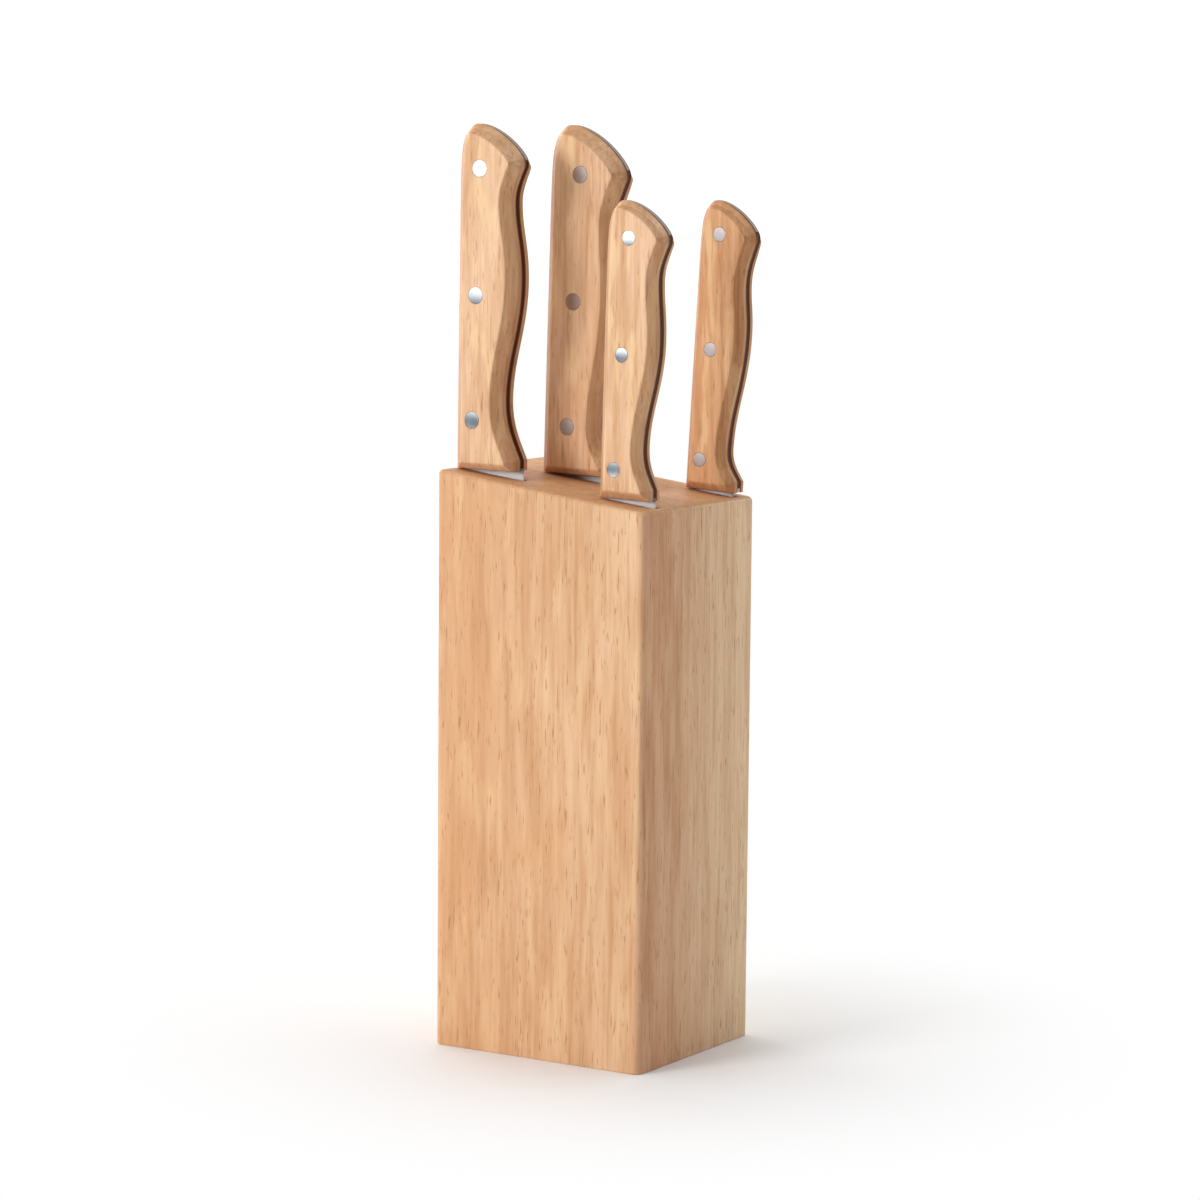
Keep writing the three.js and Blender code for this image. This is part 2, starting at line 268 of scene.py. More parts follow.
@dataclass(frozen=True)
class WoodFinish:
    """Sanded light hardwood with its grain along Z.

    Attributes:
        name: the material's name.
        light: the colour of the early wood.
        dark: the colour of the late wood.
        fleck: the colour of the pores.
        warm: a warmer tint that comes and goes over the surface.
        end_grain: the colour where the wood is cut across.
        painted_back_light: a paler tint towards the back of the block, if it has one, painted light for
            the brighter back of its sides.
        gold: a yellower tint in soft patches.
        tang_gap_shade: the colour of the dark line painted along the tang, a painted shadow of the gap
            between scale and tang.
        side_shade: painted shade, how much darker the faces along X are: the bevels and walls of a
            handle, or the sides of the block.
        mottling: how strongly the patches and the long veins show.
        seam: the tang's place along Y in metres, where there is one.
        band: the width of the broad bands in metres.
        streak: the width of the fine streaks in metres.
        hairs: how strongly the finest lines show.
        waves: how much the grain wanders.
        streaks: how strongly the fine streaks show.
        flecks: how strongly the pores show.
        offset: where in the wood this piece was cut.
        roughness: the mean roughness.
    """

    name: str
    light: Colour
    dark: Colour
    fleck: Colour
    warm: Colour
    end_grain: Colour
    painted_back_light: Colour | None = None
    gold: Colour = linear(240, 204, 156)
    tang_gap_shade: Colour = linear(84, 40, 16)
    side_shade: Colour = (1.0, 1.0, 1.0)
    mottling: float = 0.0
    seam: float | None = None
    band: float = 6 * MM
    streak: float = 1.7 * MM
    hairs: float = 0.14
    waves: float = 0.5
    streaks: float = 0.5
    flecks: float = 0.6
    offset: tuple[float, float, float] = (0.0, 0.0, 0.0)
    roughness: float = 0.5

    def material(self) -> bpy.types.Material:
        """Builds the material."""
        made = bpy.data.materials.new(self.name)
        kit = NodeKit.of(made)
        across = kit.facing("Z")
        end = (across * across).between(0.25, 0.9)
        streaks = self._pattern(kit, self.streak, 24.0, 3.0)
        hairs = self._pattern(kit, HAIR_WIDTH, 30.0, 1.0)
        pores = self._pattern(kit, PORE_WIDTH, 9.0, 1.0, shift=7.0)
        fleck = pores.between(0.6, 0.76) * self.flecks
        bands = self._pattern(kit, self.band, 9.0, 2.0).between(0.35, 0.7)
        late = (bands * 0.55 + streaks.between(0.3, 0.75) * self.streaks).clamp()
        colour = kit.mix(late, *self._early_and_late(kit, end))
        colour = self._marked(kit, colour, end, fleck)
        colour = self._side_shaded(kit, colour, across)
        fine = (hairs - 0.5) * self.hairs + 1.0
        colour = kit.mix(1.0, colour, kit.grey(fine), "MULTIPLY")
        rough = streaks * 0.12 + fleck * 0.15 + (self.roughness - 0.06)
        height = streaks * 0.5 + hairs * 0.5 - fleck
        kit.surface(
            {
                "Base Color": colour,
                "Roughness": rough.clamp(),
                "Specular IOR Level": 0.12,
                "Normal": kit.bump(height, 0.03 * MM, 0.6),
            }
        )
        return made

    def _early_and_late(self, kit: NodeKit, end: Wire) -> tuple[Wire, Wire]:
        """The colours of the early and the late wood over the piece.

        Args:
            kit: the material's nodes.
            end: where the wood is cut across, from 0 to 1.

        Returns:
            The early wood's colour and the late wood's.
        """
        clouds = self._pattern(kit, 3.5 * self.band, 2.5, 2.0)
        light = kit.mix(clouds.between(0.45, 0.75) * 0.6, self.light, self.warm)
        dark: Any = self.dark
        if self.painted_back_light:
            # warmer towards the left
            left_warmth = 1.0 - kit.axis("X").between(-0.045, 0.04)
            light = kit.mix(left_warmth * 0.6, light, self.warm)
            # painted light: the wood turns paler towards the back, where the sides are more brightly
            # lit
            pale = kit.axis("Y").between(-0.03, 0.03)
            light = kit.mix(pale * 0.8, light, self.painted_back_light)
            dark = kit.mix(pale * 0.4, dark, self.painted_back_light)
        light = kit.mix(end * 0.92, light, self.end_grain)
        dark = kit.mix(end * 0.92, dark, tuple(0.78 * channel for channel in self.end_grain))
        return light, dark

    def _marked(self, kit: NodeKit, colour: Wire, end: Wire, fleck: Wire) -> Wire:
        """Adds the yellow patches, the long veins and the pores.

        Args:
            kit: the material's nodes.
            colour: the colour of the wood so far.
            end: where the wood is cut across, from 0 to 1.
            fleck: where the pores are, from 0 to 1.

        Returns:
            The colour with its marks.
        """
        patches = self._pattern(kit, 1.3 * self.band, 5.0, 2.0, shift=19.0).between(0.5, 0.68)
        colour = kit.mix(patches * (1.0 - end) * self.mottling, colour, self.gold)
        veins = self._pattern(kit, VEIN_WIDTH, 16.0, 1.0, shift=3.0).between(0.62, 0.8)
        return kit.mix((veins * (0.7 * self.mottling) + fleck).clamp(), colour, self.fleck)

    def _side_shaded(self, kit: NodeKit, colour: Wire, across: Wire) -> Wire:
        """Paints shade on the faces along X, and paints the shadow line along the tang where there is
        one.

        Args:
            kit: the material's nodes.
            colour: the colour of the wood so far.
            across: how far the surface faces up.

        Returns:
            The colour with its painted shade on the sides and along the tang.
        """
        side = kit.facing("X")
        # painted shade: faces along X that don't face up are darkened, for the light that falls less on
        # them
        edge = (side * side).between(0.15, 0.45) * (1.0 - across.between(0.25, 0.6))
        colour = kit.mix(edge, colour, self.side_shade, "MULTIPLY")
        if self.seam is None:
            return colour
        # painted shadow: the wood next to the tang is darkened, for the shade of the gap between the
        # scales
        from_tang = kit.axis("Y") - self.seam
        near = 1.0 - (from_tang * from_tang).between(GAP_SHADE_FULL**2, GAP_SHADE_END**2)
        return kit.mix(near * side.between(0.1, 0.5) * 0.9, colour, self.tang_gap_shade)

    def _pattern(
        self, kit: NodeKit, width: float, length: float, detail: float, shift: float = 0.0
    ) -> Wire:
        """Noise drawn out along the grain.

        Args:
            kit: the material's nodes.
            width: one pattern length across the grain, in metres.
            length: how many times longer the pattern is along the grain.
            detail: how many octaves it has.
            shift: moves the pattern, so that two of one width differ.

        Returns:
            The noise, from 0 to 1.
        """
        stretch = (1 / width, 1 / width, 1 / (width * length))
        offset = [shift + 37.0 * part / (width / MM) for part in self.offset]
        return kit.noise(kit.place(stretch, offset), detail, self.waves)


@dataclass(frozen=True)
class SteelFinish:
    """Satin-ground blade steel with fine scratches across the blade, darkened above a given height as
    painted shade.

    Attributes:
        name: the material's name.
        colour: the steel's colour.
        roughness: the mean roughness.
        shaded_above: the height over the block's foot above which the blade is darkened, painted shade
            for the gap under the handle, and made a little rougher.
    """

    name: str
    colour: Colour
    roughness: float = 0.33
    shaded_above: float = 1.0

    def material(self) -> bpy.types.Material:
        """Builds the material."""
        made = bpy.data.materials.new(self.name)
        kit = NodeKit.of(made)
        scratches = kit.noise(kit.place((1 / (60 * MM), 1 / (2 * MM), 1 / (0.25 * MM))), 3.0)
        stains = kit.noise(kit.place((60.0, 60.0, 60.0)), 3.0)
        # painted shade: the blade is darker above the given height, where it shows in the gap under the
        # handle; it is also a little rougher there
        heel = kit.axis("Z").between(self.shaded_above, self.shaded_above + 0.03)
        shade = (scratches - 0.5) * 0.18 + (stains - 0.5) * 0.12 + 1.0 - heel * 0.35
        rough = scratches * 0.2 + stains * 0.1 + heel * 0.15 + (self.roughness - 0.15)
        kit.surface(
            {
                "Base Color": kit.mix(1.0, self.colour, kit.grey(shade), "MULTIPLY"),
                "Metallic": 1.0,
                "Roughness": rough.clamp(),
                "Normal": kit.bump(scratches, 0.01 * MM, 0.5),
            }
        )
        return made


@dataclass(frozen=True)
class RivetFinish:
    """Polished rivet metal with faint turning marks and a little tarnish.

    Attributes:
        name: the material's name.
        colour: the metal's colour.
        roughness: the mean roughness.
    """

    name: str
    colour: Colour
    roughness: float = 0.15

    def material(self) -> bpy.types.Material:
        """Builds the material."""
        made = bpy.data.materials.new(self.name)
        kit = NodeKit.of(made)
        marks = kit.noise(kit.place((3000.0, 3000.0, 3000.0)), 3.0)
        tarnish = kit.noise(kit.place((420.0, 420.0, 420.0)), 2.0)
        dull = tuple(0.86 * channel for channel in self.colour)
        kit.surface(
            {
                "Base Color": kit.mix(tarnish.between(0.35, 0.75), self.colour, dull),
                "Metallic": 1.0,
                "Roughness": (tarnish * 0.08 + (self.roughness - 0.04)).clamp(),
                "Normal": kit.bump(marks, 0.001 * MM, 0.3),
            }
        )
        return made


@cache
def shared(finish: SteelFinish | RivetFinish) -> bpy.types.Material:
    """A finish's material, built once for all knives."""
    return finish.material()


BLOCK_WOOD = WoodFinish(
    name="oiled_block_wood",
    light=linear(227, 187, 149),
    dark=linear(201, 150, 107),
    fleck=linear(172, 120, 76),
    warm=linear(214, 158, 112),
    end_grain=linear(228, 174, 126),
    # painted light: paler towards the back
    painted_back_light=linear(248, 226, 184),
    # painted shade: the block's sides along X are darker
    side_shade=(0.90, 0.84, 0.84),
    mottling=0.26,
    flecks=0.62,
)
# painted shade: each blade is darkened above 0.168 m, in the gap under its handle
BLADE_STEEL = SteelFinish("satin_blade_steel", (0.64, 0.60, 0.58), shaded_above=0.168)
# painted shadow: the tang's edge along the belly is dark brown, for the shade of the gap between the
# scales
TANG_BELLY_SHADE = SteelFinish("tang_belly_shade", linear(84, 44, 22), 0.55)
TANG_BUTT = SteelFinish("tang_butt", (0.32, 0.28, 0.25), 0.5)
RIVET_METAL = RivetFinish("polished_rivet_metal", (0.92, 0.93, 0.94))
# painted shade: a darker, duller copy of the rivet metal for the rivets that sit in another handle's
# shade
SHADED_RIVET_METAL = RivetFinish("shaded_rivet_metal", (0.42, 0.37, 0.36), 0.3)


# ------------------------------------------------------------------------------ mesh helpers
WELD = 0.002 * MM  # points closer than this are one
KEPT_SHARE = 0.985  # a moved point closer to its outline than this share of its way has crossed over


def evaluated_mesh(obj: bpy.types.Object) -> bpy.types.Mesh:
    """An object's mesh with its modifiers applied, as a new mesh."""
    graph = bpy.context.evaluated_depsgraph_get()
    return bpy.data.meshes.new_from_object(obj.evaluated_get(graph), depsgraph=graph)


def new_object(name: str, mesh: bpy.types.Mesh) -> bpy.types.Object:
    """Links a mesh into the scene as an object at the origin.

    Args:
        name: the object's name.
        mesh: its mesh.

    Returns:
        The object.
    """
    made = bpy.data.objects.new(name, mesh)
    bpy.context.scene.collection.objects.link(made)
    return made


def apply_modifiers(obj: bpy.types.Object) -> None:
    """Turns an object's modifiers into plain mesh.

    Args:
        obj: the object, which keeps no modifier.
    """
    old, obj.data = obj.data, evaluated_mesh(obj)
    obj.modifiers.clear()
    bpy.data.meshes.remove(old)


def cut_or_join(obj: bpy.types.Object, tool: bpy.types.Object, operation: str) -> None:
    """Cuts a tool out of an object, or joins it on, and removes the tool.

    Args:
        obj: the object that stays.
        tool: the other solid.
        operation: DIFFERENCE or UNION.
    """
    modifier = obj.modifiers.new("solid", "BOOLEAN")
    modifier.operation = operation
    modifier.solver = "MANIFOLD"
    modifier.object = tool
    bpy.context.view_layer.update()
    apply_modifiers(obj)
    bpy.data.objects.remove(tool)


def shade(obj: bpy.types.Object, sharp_angle: float = 30.0) -> None:
    """Smooth shading that keeps edges over an angle in degrees sharp."""
    obj.data.shade_smooth()
    obj.data.set_sharp_from_angle(angle=math.radians(sharp_angle))


def skin(rings: Sequence[Sequence[Vector]]) -> bpy.types.Mesh:
    """A closed mesh through a row of closed rings.

    Points that fall together are merged, so a ring may have closed up at a corner.

    Args:
        rings: the rings, with equal numbers of points.

    Returns:
        A mesh whose faces point outwards.
    """
    shell = bmesh.new()
    rows = [[shell.verts.new(point) for point in ring] for ring in rings]
    count = len(rings[0])
    for low, high in zip(rows, rows[1:]):
        for i in range(count):
            j = (i + 1) % count
            shell.faces.new((low[i], low[j], high[j], high[i]))
    shell.faces.new(rows[0][::-1])
    shell.faces.new(rows[-1])
    bmesh.ops.remove_doubles(shell, verts=shell.verts, dist=WELD)
    bmesh.ops.dissolve_degenerate(shell, edges=shell.edges, dist=WELD)
    bmesh.ops.recalc_face_normals(shell, faces=shell.faces)
    mesh = bpy.data.meshes.new("skin")
    shell.to_mesh(mesh)
    shell.free()
    return mesh


def box_object(low: Vector, high: Vector) -> bpy.types.Object:
    """A box, used as a cutting tool.

    Args:
        low: its lowest corner.
        high: its highest corner.

    Returns:
        The box as an object.
    """
    solid = bmesh.new()
    size = high - low
    place = Matrix.Translation((low + high) / 2) @ Matrix.Diagonal((*size, 1.0))
    bmesh.ops.create_cube(solid, size=1.0, matrix=place)
    mesh = bpy.data.meshes.new("tool")
    solid.to_mesh(mesh)
    solid.free()
    return new_object("tool", mesh)


def bezier(a: Point2, b: Point2, c: Point2, d: Point2, steps: int) -> list[Point2]:
    """Points along a cubic curve.

    Args:
        a: where it starts.
        b: where it heads at first.
        c: where it comes from at last.
        d: where it ends.
        steps: how many points it has.

    Returns:
        The points, without the first one.
    """
    points = []
    for i in range(1, steps + 1):
        t = i / steps
        weights = ((1 - t) ** 3, 3 * t * (1 - t) ** 2, 3 * t * t * (1 - t), t**3)
        x, y = (sum(w * p[k] for w, p in zip(weights, (a, b, c, d))) for k in (0, 1))
        points.append((x, y))
    return points


def mixed(a: float, b: float, share: float) -> float:
    """A value part of the way from a to b."""
    return a + (b - a) * share


def rounded_corner(before: Point2, corner: Point2, after: Point2, radius: float) -> list[Point2]:
    """An arc that takes the place of a corner.

    Args:
        before: a point on the way in.
        corner: the corner.
        after: a point on the way out.
        radius: the arc's radius.

    Returns:
        Points along the arc.
    """
    at = Vector(corner)
    inward = (Vector(before) - at).normalized()
    outward = (Vector(after) - at).normalized()
    half = inward.angle(outward) / 2
    start = at + inward * radius / math.tan(half)
    middle = at + (inward + outward).normalized() * radius / math.sin(half)
    first = start - middle
    turn = math.pi - 2 * half
    sign = 1.0 if inward.cross(outward) < 0 else -1.0
    steps = 6
    points = []
    for i in range(steps + 1):
        angle = sign * turn * i / steps
        cos, sin = math.cos(angle), math.sin(angle)
        spoke = Vector((first.x * cos - first.y * sin, first.x * sin + first.y * cos))
        points.append(tuple(middle + spoke))
    return points


def resampled(outline: Sequence[Point2], step: float) -> list[Point2]:
    """A closed outline with its points an even distance apart.

    Args:
        outline: the outline.
        step: about how far apart the points are to be.

    Returns:
        The new points, from the outline's first one on.
    """
    closed = [Vector(p) for p in outline] + [Vector(outline[0])]
    lengths = [(b - a).length for a, b in zip(closed, closed[1:])]
    count = max(8, round(sum(lengths) / step))
    spacing = sum(lengths) / count
    points, part, walked = [], 0, 0.0
    for i in range(count):
        goal = i * spacing
        while walked + lengths[part] < goal:
            walked += lengths[part]
            part += 1
        share = (goal - walked) / lengths[part] if lengths[part] else 0.0
        points.append(tuple(closed[part].lerp(closed[part + 1], share)))
    return points


def inset(outline: Sequence[Point2], distance: float | np.ndarray) -> list[Point2]:
    """An anticlockwise outline moved inwards.

    Where the moved outline would cross itself, at a corner tighter than the distance, its points
    gather on the crossing.

    Args:
        outline: the closed outline.
        distance: how far to move it, or how far for each point.

    Returns:
        As many points as the outline has.
    """
    count = len(outline)
    points = np.array(outline, float)
    steps = np.broadcast_to(distance, count)
    shifted = points - steps[:, None] * outward(points)
    moved = [Vector(p) for p in shifted]
    good = distances_to(points, shifted) > steps * KEPT_SHARE - 1e-6
    if all(good):
        return [tuple(p) for p in moved]
    start = next(i for i in range(count) if good[i] and not good[(i + 1) % count])
    i = start
    while i < start + count:
        if good[(i + 1) % count]:
            i += 1
            continue
        end = i + 1
        while not good[end % count]:
            end += 1
        a, b = moved[i % count], moved[end % count]
        into = a - moved[(i - 1) % count]
        out = b - moved[(end + 1) % count]
        meet = crossing(a, into, b, out)
        for k in range(i + 1, end):
            moved[k % count] = meet
        i = end
    return [tuple(p) for p in moved]


def outward(outline: np.ndarray) -> np.ndarray:
    """The normals of a closed outline.

    Args:
        outline: its points, anticlockwise.

    Returns:
        The unit vector that points out at each of them.
    """
    along = np.roll(outline, -1, axis=0) - np.roll(outline, 1, axis=0)
    along /= np.linalg.norm(along, axis=1, keepdims=True)
    return np.stack((along[:, 1], -along[:, 0]), axis=1)


def distances_to(outline: np.ndarray, points: np.ndarray) -> np.ndarray:
    """How far points are from a closed outline.

    Args:
        outline: the outline's points.
        points: the points to measure from.

    Returns:
        A distance for each point.
    """
    sides = np.roll(outline, -1, axis=0) - outline
    gaps = points[:, None, :] - outline[None, :, :]
    shares = (gaps * sides).sum(axis=2) / (sides * sides).sum(axis=1)
    nearest = gaps - np.clip(shares, 0.0, 1.0)[:, :, None] * sides
    return np.sqrt((nearest * nearest).sum(axis=2)).min(axis=1)


def crossing(a: Vector, into: Vector, b: Vector, out: Vector) -> Vector:
    """Where two lines cross.

    Args:
        a: a point on the first line.
        into: the first line's direction.
        b: a point on the second line.
        out: the second line's direction.

    Returns:
        The crossing, or the middle of a and b where it would be far off.
    """
    area = into.x * out.y - into.y * out.x
    if abs(area) < 1e-12:
        return (a + b) / 2
    gap = b - a
    meet = a + into * ((gap.x * out.y - gap.y * out.x) / area)
    return meet if (meet - (a + b) / 2).length < 4 * gap.length + 0.05 * MM else (a + b) / 2


# ------------------------------------------------------------------------------ rivets
@dataclass
class RivetTree:
    """The Geometry Nodes tree that sets a domed pin on each of a mesh's points.

    Attributes:
        around: how many sides the pins have.
        rings: how many rings their domes have.
        tree: the tree, once it is built.
    """

    around: int = 48
    rings: int = 8
    tree: Any = None

    def build(self) -> None:
        """Makes the tree with its inputs named."""
        self.tree = bpy.data.node_groups.new("rivets", "GeometryNodeTree")
        face = self.tree.interface
        face.new_socket("Geometry", in_out="OUTPUT", socket_type="NodeSocketGeometry")
        face.new_socket("Geometry", in_out="INPUT", socket_type="NodeSocketGeometry")
        for name in ("Radius", "Length", "Dome"):
            face.new_socket(name, in_out="INPUT", socket_type="NodeSocketFloat")
        face.new_socket("Turn", in_out="INPUT", socket_type="NodeSocketVector")
        face.new_socket("Metal", in_out="INPUT", socket_type="NodeSocketMaterial")
        kit = NodeKit(self.tree)
        given = {s.name: Wire(kit, s) for s in self.tree.nodes.new("NodeGroupInput").outputs}
        sizes = {
            "Vertices": self.around,
            "Side Segments": 1,
            "Fill Segments": self.rings,
            "Radius": given["Radius"],
            "Depth": given["Length"],
        }
        pin = kit.add("GeometryNodeMeshCylinder", {"fill_type": "TRIANGLE_FAN"}, sizes)
        domed = {"Geometry": pin, "Offset": self._dome(kit, given)}
        shaped = kit.add("GeometryNodeSetPosition", {}, domed)
        on_points = {"Points": given["Geometry"], "Instance": shaped, "Rotation": given["Turn"]}
        placed = kit.add("GeometryNodeInstanceOnPoints", {}, on_points)
        real = kit.add("GeometryNodeRealizeInstances", {}, {0: placed})
        metal = {"Geometry": real, "Material": given["Metal"]}
        kit.add("NodeGroupOutput", {}, {0: kit.add("GeometryNodeSetMaterial", {}, metal)})

    @staticmethod
    def _dome(kit: NodeKit, given: dict[str, Wire]) -> Wire:
        """The step that raises a pin's two ends into domes.

        Args:
            kit: the tree's nodes.
            given: the tree's inputs.

        Returns:
            An offset along the pin's own Z.
        """
        place = kit.add("GeometryNodeInputPosition")
        x, y, z = (kit.add("ShaderNodeSeparateXYZ", {}, {0: place}, name) for name in "XYZ")
        share = 1.0 - (x * x + y * y) / (given["Radius"] * given["Radius"])
        return kit.add("ShaderNodeCombineXYZ", {}, {"Z": z.sign() * (share * given["Dome"])})

    def set_rivets(
        self, name: str, places: Sequence[Vector], sizes: dict[str, Any]
    ) -> bpy.types.Object:
        """Makes one body's rivets.

        Args:
            name: the piece's name.
            places: the middle of each rivet.
            sizes: a value for each named input of the tree.

        Returns:
            A plain mesh object.
        """
        points = bpy.data.meshes.new(name)
        points.from_pydata([tuple(p) for p in places], [], [])
        made = new_object(name, points)
        modifier = made.modifiers.new("rivets", "NODES")
        modifier.node_group = self.tree
        keys = {s.name: s.identifier for s in self.tree.interface.items_tree if s.in_out == "INPUT"}
        for key, value in sizes.items():
            modifier[keys[key]] = value
        apply_modifiers(made)
        return made


# ------------------------------------------------------------------------------ knives
class Side(Enum):
    """The two scales of a handle, by the way they face along Y."""

    FRONT = -1
    BACK = 1


@dataclass
class HandleShape:
    """A handle's sizes in millimetres: widths from its spine, heights from its foot.

    Attributes:
        thickness: over both scales.
        side_bevel: of the outer face's long edges.
        foot_bevel: of the outer face's lower edge.
        rivet_radius: of its rivets.
        length: from the foot to the top of the butt.
        heel, waist, swell, neck, nose: the widths from the foot up to the butt's nose.
        waist_at, swell_at, neck_at, nose_at: the heights of those widths.
        rivets: the middle of each rivet.
        nose_radius: of the round at the nose, seen from the front.
        outline_step: between the outline's points.
    """

    thickness: float
    side_bevel: float
    foot_bevel: float
    rivet_radius: float
    length: float
    heel: float
    waist: float
    swell: float
    neck: float
    nose: float
    waist_at: float
    swell_at: float
    neck_at: float
    nose_at: float
    rivets: tuple[Point2, ...]
    nose_radius: float = 4.2
    outline_step: float = 0.55

    def outline(self, drop: float) -> list[Point2]:
        """The handle's outline, anticlockwise.

        Args:
            drop: how far the foot is moved down.

        Returns:
            Points in millimetres.
        """
        foot = 0.4 * self.side_bevel + self.foot_bevel
        apex = 0.22 * self.nose
        at = [(0.0, -drop), (self.heel, -drop), (self.heel, foot)]
        at += bezier(
            at[-1],
            (mixed(self.heel, self.waist, 0.45), mixed(foot, self.waist_at, 0.3)),
            (self.waist, mixed(foot, self.waist_at, 0.55)),
            (self.waist, self.waist_at),
            24,
        )
        at += bezier(
            at[-1],
            (self.waist, mixed(self.waist_at, self.swell_at, 0.35)),
            (self.swell, mixed(self.waist_at, self.swell_at, 0.6)),
            (self.swell, self.swell_at),
            30,
        )
        at += bezier(
            at[-1],
            (self.swell, mixed(self.swell_at, self.neck_at, 0.45)),
            (self.neck, mixed(self.swell_at, self.neck_at, 0.65)),
            (self.neck, self.neck_at),
            24,
        )
        belly = bezier(
            at[-1],
            (self.neck, mixed(self.neck_at, self.nose_at, 0.4)),
            (mixed(self.nose, self.neck, 0.42), mixed(self.nose_at, self.neck_at, 0.35)),
            (self.nose, self.nose_at),
            24,
        )
        butt = bezier(
            belly[-1],
            (mixed(self.nose, apex, 0.1), mixed(self.nose_at, self.length, 0.42)),
            (mixed(apex, self.nose, 0.36), self.length),
            (apex, self.length),
            30,
        )
        at += self._rounded_nose(belly, butt)
        at += bezier(
            at[-1], (0.15 * apex, self.length), (0.0, 0.94 * self.length), (0.0, 0.78 * self.length), 24
        )
        return resampled(at, self.outline_step)

    def _rounded_nose(self, belly: list[Point2], butt: list[Point2]) -> list[Point2]:
        """The belly and the butt with a round where they meet.

        Args:
            belly: points up to the nose, the last one on it.
            butt: points on from the nose.

        Returns:
            One run of points.
        """
        nose = belly[-1]
        arc = rounded_corner(belly[-4], nose, butt[2], self.nose_radius)
        reach = (Vector(arc[0]) - Vector(nose)).length
        away = [p for p in belly[:-1] if (Vector(p) - Vector(nose)).length > reach]
        on = [p for p in butt if (Vector(p) - Vector(nose)).length > reach]
        return away + arc + on


EDGE_HALF = 0.03  # half the thickness of a blade's edge, in millimetres


@dataclass
class BladeShape:
    """A blade's sizes in millimetres.

    Attributes:
        length: from the handle's foot to the tip.
        width: at the handle.
        thickness: of its flats and of the tang.
        curve: the length of the curved end.
        drop: where the tip lies across the width, from the spine.
    """

    length: float
    width: float
    thickness: float
    curve: float
    drop: float


